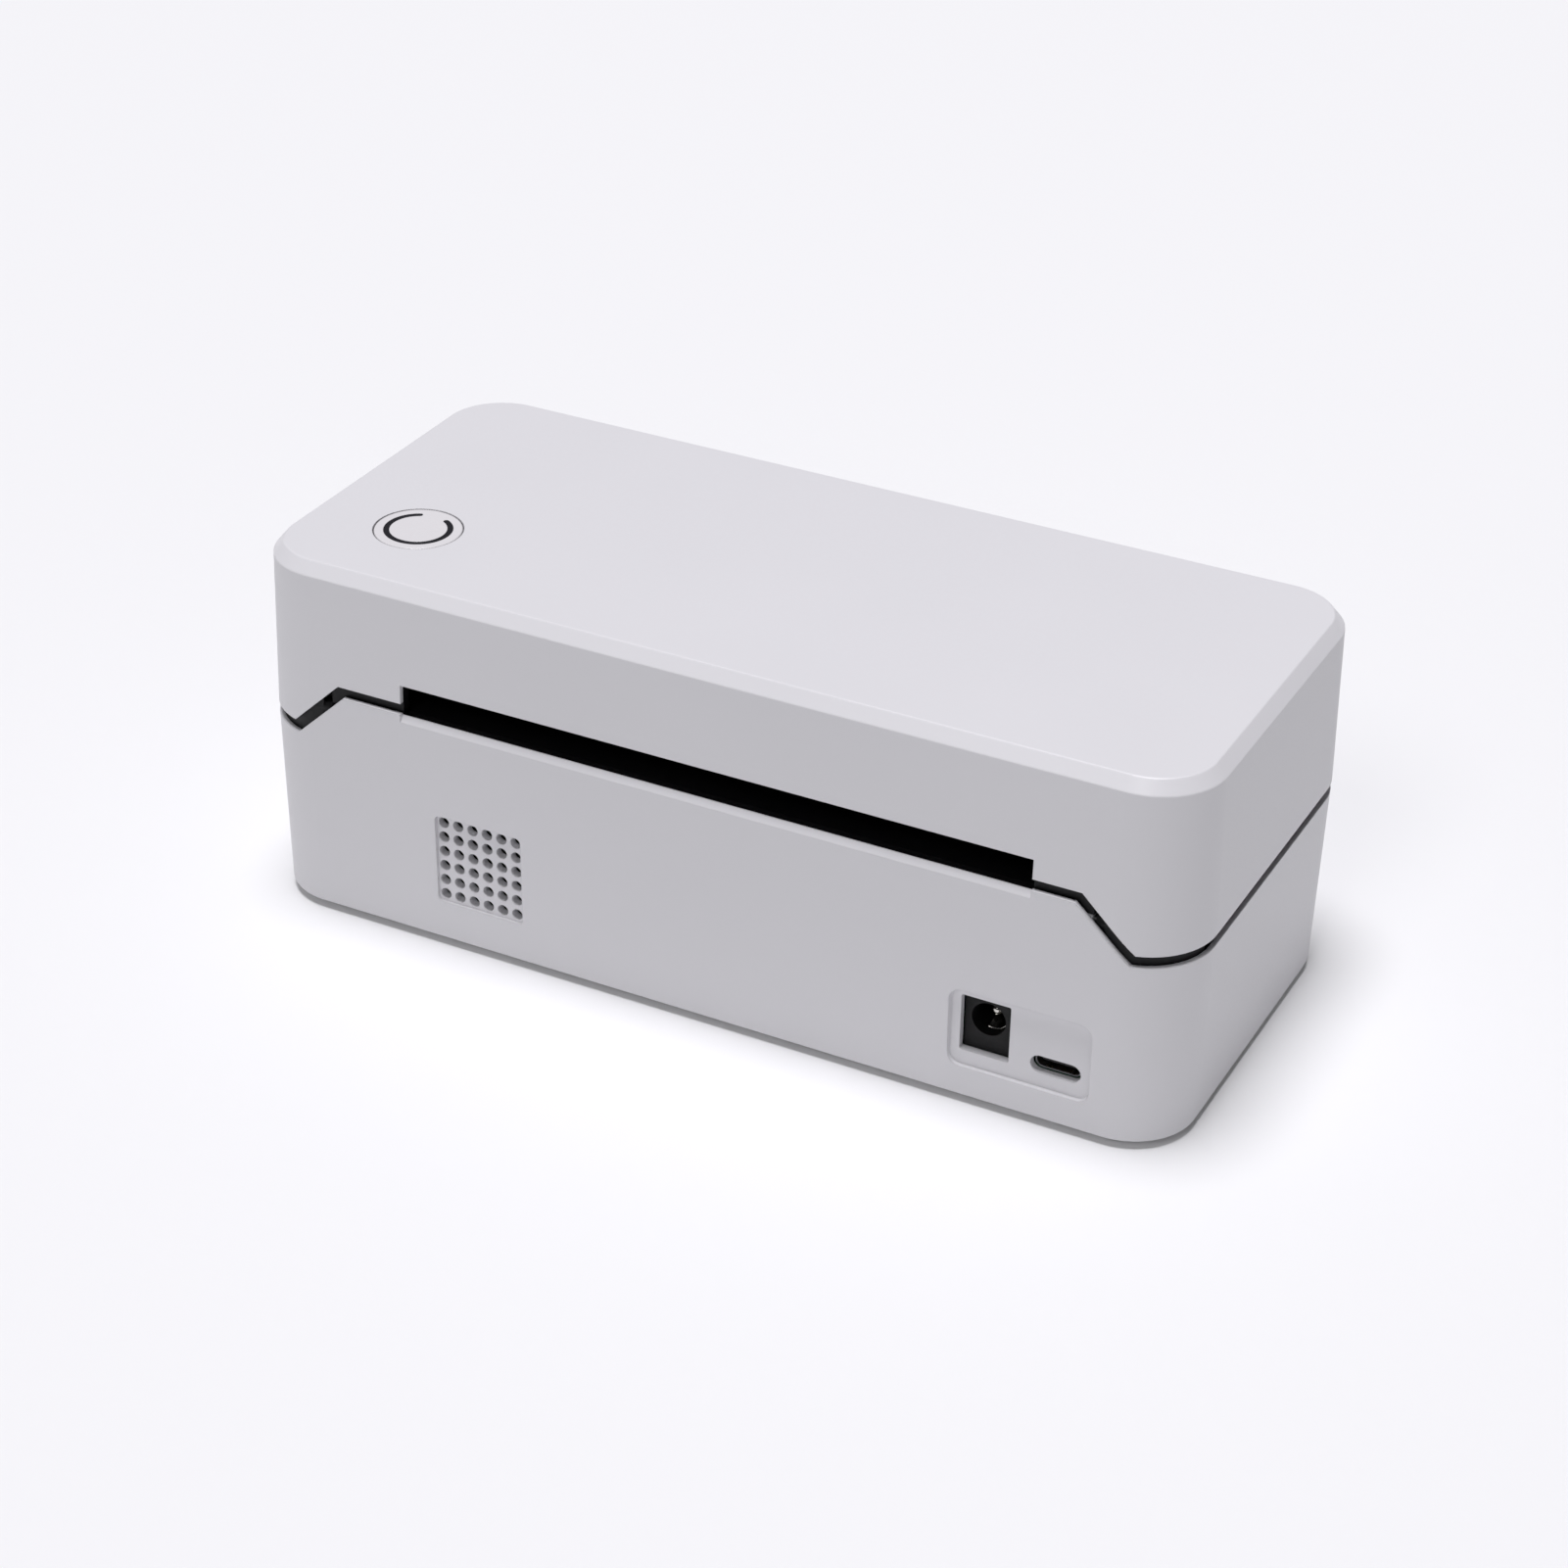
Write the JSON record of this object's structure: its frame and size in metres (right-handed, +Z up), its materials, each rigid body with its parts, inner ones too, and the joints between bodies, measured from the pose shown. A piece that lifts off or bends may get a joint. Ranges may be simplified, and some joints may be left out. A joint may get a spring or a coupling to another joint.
{
  "type": "thermal label printer",
  "caption": "Compact desktop thermal label printer: white clamshell casing with a rear label inlet, a front tear-off outlet and a feed button on top",
  "frame": {"origin": "middle of the footprint, on the plane the rubber feet stand on", "axes": "+Z up; -Y is the front, where labels come out; +Y the rear, with the label inlet and the ports; +X the printer's right seen from its front"},
  "size_m": [0.1872, 0.0828, 0.0735],
  "materials": {
    "white_abs": "white ABS, fine moulded texture, satin",
    "black_abs": "black ABS, moulded, matt",
    "black_plastic": "black moulded nylon, slight gloss",
    "rubber": "ground silicone rubber",
    "steel": "zinc-plated sheet steel",
    "bright_steel": "bright nickel-plated steel",
    "aluminium": "bare extruded aluminium",
    "ceramic": "glazed alumina",
    "circuit_board": "glass-epoxy board with green solder mask",
    "gear_plastic": "natural acetal",
    "smoked_window": "smoked polycarbonate light window",
    "brass": "sintered bronze and brass",
    "epoxy": "black potting resin",
    "lamp": "clear lamp body",
    "chip": "moulded epoxy chip body"
  },
  "bodies": {
    "root": {"base_shell": "white_abs", "base_frame": "black_abs", "hinge_pins": "bright_steel", "platen_bushes": "brass", "gear_plate": "steel", "idler_stud": "bright_steel", "motor_body": "steel", "motor_screws": "bright_steel", "pinion_screw": "bright_steel", "gap_emitter": "black_plastic", "main_board": "circuit_board", "board_screws": "bright_steel", "dc_jack": "black_plastic", "dc_jack_contacts": "bright_steel", "usb_c_shell": "bright_steel", "usb_c_tongue": "black_plastic", "capacitors": "aluminium", "board_chips": "chip", "board_sockets": "gear_plastic", "speaker": "black_plastic", "rubber_feet": "rubber", "frame_screws": "bright_steel", "catch_clips": "bright_steel"},
    "lid": {"lid_shell": "white_abs", "lid_frame": "black_abs", "gap_receiver": "black_plastic", "lid_screws": "bright_steel", "striker_pins": "bright_steel", "tear_bar": "bright_steel", "head_pivots": "bright_steel", "head_springs": "bright_steel", "button_board": "circuit_board", "tact_switch": "black_plastic", "status_lamps": "lamp", "button_screws": "bright_steel"},
    "head": {"head_block": "aluminium", "head_ceramic": "ceramic", "head_driver_cover": "epoxy", "head_bracket": "steel", "head_socket": "gear_plastic"},
    "button": {"feed_button": "white_abs", "light_window": "smoked_window"},
    "platen": {"platen_rubber": "rubber", "platen_shaft": "bright_steel", "platen_gear": "gear_plastic"},
    "idler": {"idler_gear": "gear_plastic"},
    "rotor": {"motor_shaft": "bright_steel", "motor_pinion": "brass"},
    "left_guide": {"guide_left": "black_abs"},
    "right_guide": {"guide_right": "black_abs"},
    "guide_gear": {"guide_pinion": "gear_plastic"}
  },
  "joints": [
    {"name": "lid_hinge", "type": "hinge", "parent": "root", "child": "lid", "pos_m": [0, 0.0384, 0.044], "axis": [-1, 0, 0], "range_deg": [0, 50], "deforming": ["catch_clips"]},
    {"name": "head_float", "type": "hinge", "parent": "lid", "child": "head", "pos_m": [0, -0.006, 0.0595], "axis": [-1, 0, 0], "range_deg": [0, 2], "stiffness_Nm_per_rad": 3, "springref_deg": -5.73, "deforming": ["head_springs"]},
    {"name": "button_press", "type": "slide", "parent": "lid", "child": "button", "axis": [0, 0, -1], "range_m": [0, 0.0005], "stiffness_N_per_m": 1000, "springref_m": -0.0005},
    {"name": "platen_spin", "type": "hinge", "parent": "root", "child": "platen", "pos_m": [0, -0.027, 0.0417], "axis": [1, 0, 0], "continuous": true},
    {"name": "idler_spin", "type": "hinge", "parent": "root", "child": "idler", "pos_m": [0, -0.01559, 0.03088], "axis": [1, 0, 0], "continuous": true},
    {"name": "motor_spin", "type": "hinge", "parent": "root", "child": "rotor", "pos_m": [0, 0.004, 0.023], "axis": [1, 0, 0], "continuous": true},
    {"name": "left_guide_slide", "type": "slide", "parent": "root", "child": "left_guide", "axis": [1, 0, 0], "range_m": [0, 0.036]},
    {"name": "right_guide_slide", "type": "slide", "parent": "root", "child": "right_guide", "axis": [1, 0, 0], "range_m": [-0.036, 0]},
    {"name": "guide_gear_turn", "type": "hinge", "parent": "root", "child": "guide_gear", "pos_m": [-0.0022, 0.0175, 0.042], "axis": [0, 0, 1], "range_deg": [-258, 0]}
  ],
  "couplings": [
    {"joint": "idler_spin", "follows": "platen_spin", "ratio": -1.6},
    {"joint": "motor_spin", "follows": "platen_spin", "ratio": 5.4},
    {"joint": "right_guide_slide", "follows": "left_guide_slide", "ratio": -1},
    {"joint": "guide_gear_turn", "follows": "left_guide_slide", "rad_per_m": -125}
  ]
}
